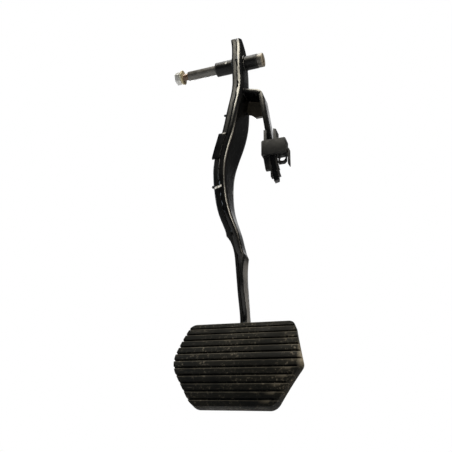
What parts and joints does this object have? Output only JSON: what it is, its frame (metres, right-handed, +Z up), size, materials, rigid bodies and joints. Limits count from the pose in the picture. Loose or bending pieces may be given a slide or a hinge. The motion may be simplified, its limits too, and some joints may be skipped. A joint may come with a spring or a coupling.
{
  "type": "brake pedal",
  "caption": "Hanging car brake pedal: curved pressed-steel arm on a bolted pivot, with a wide ribbed rubber pad and a push-rod bracket with a plastic clip.",
  "frame": {"origin": "on the pivot axis, at the middle of the arm's upper end", "axes": "+X along the pivot axis towards the collar, +Y away from the driver, +Z up with the pedal hanging"},
  "size_m": [0.1457, 0.0603, 0.4078],
  "materials": {
    "arm_paint": "gloss black coat",
    "bare_steel": "dark turned steel",
    "zinc_bolt": "zinc plated",
    "bush_plastic": "moulded",
    "clip_plastic": "moulded, matte",
    "pad_rubber": "ribbed, dusty",
    "plate_steel": "black coat"
  },
  "bodies": {
    "pivot": {"pivot_bolt": "zinc_bolt", "spacer_sleeve": "bare_steel"},
    "pedal": {"pivot_tube": "arm_paint", "bush_left": "bush_plastic", "bush_right": "bush_plastic", "arm_left_shell": "arm_paint", "arm_right_shell": "arm_paint", "push_rod_bracket": "arm_paint", "push_rod_clip": "clip_plastic", "pedal_plate": "plate_steel", "pad_cover": "pad_rubber"}
  },
  "joints": [
    {"name": "pedal_swing", "type": "hinge", "parent": "pivot", "child": "pedal", "pos_m": [0, 0, 0], "axis": [1, 0, 0], "range_deg": [0, 26]}
  ]
}
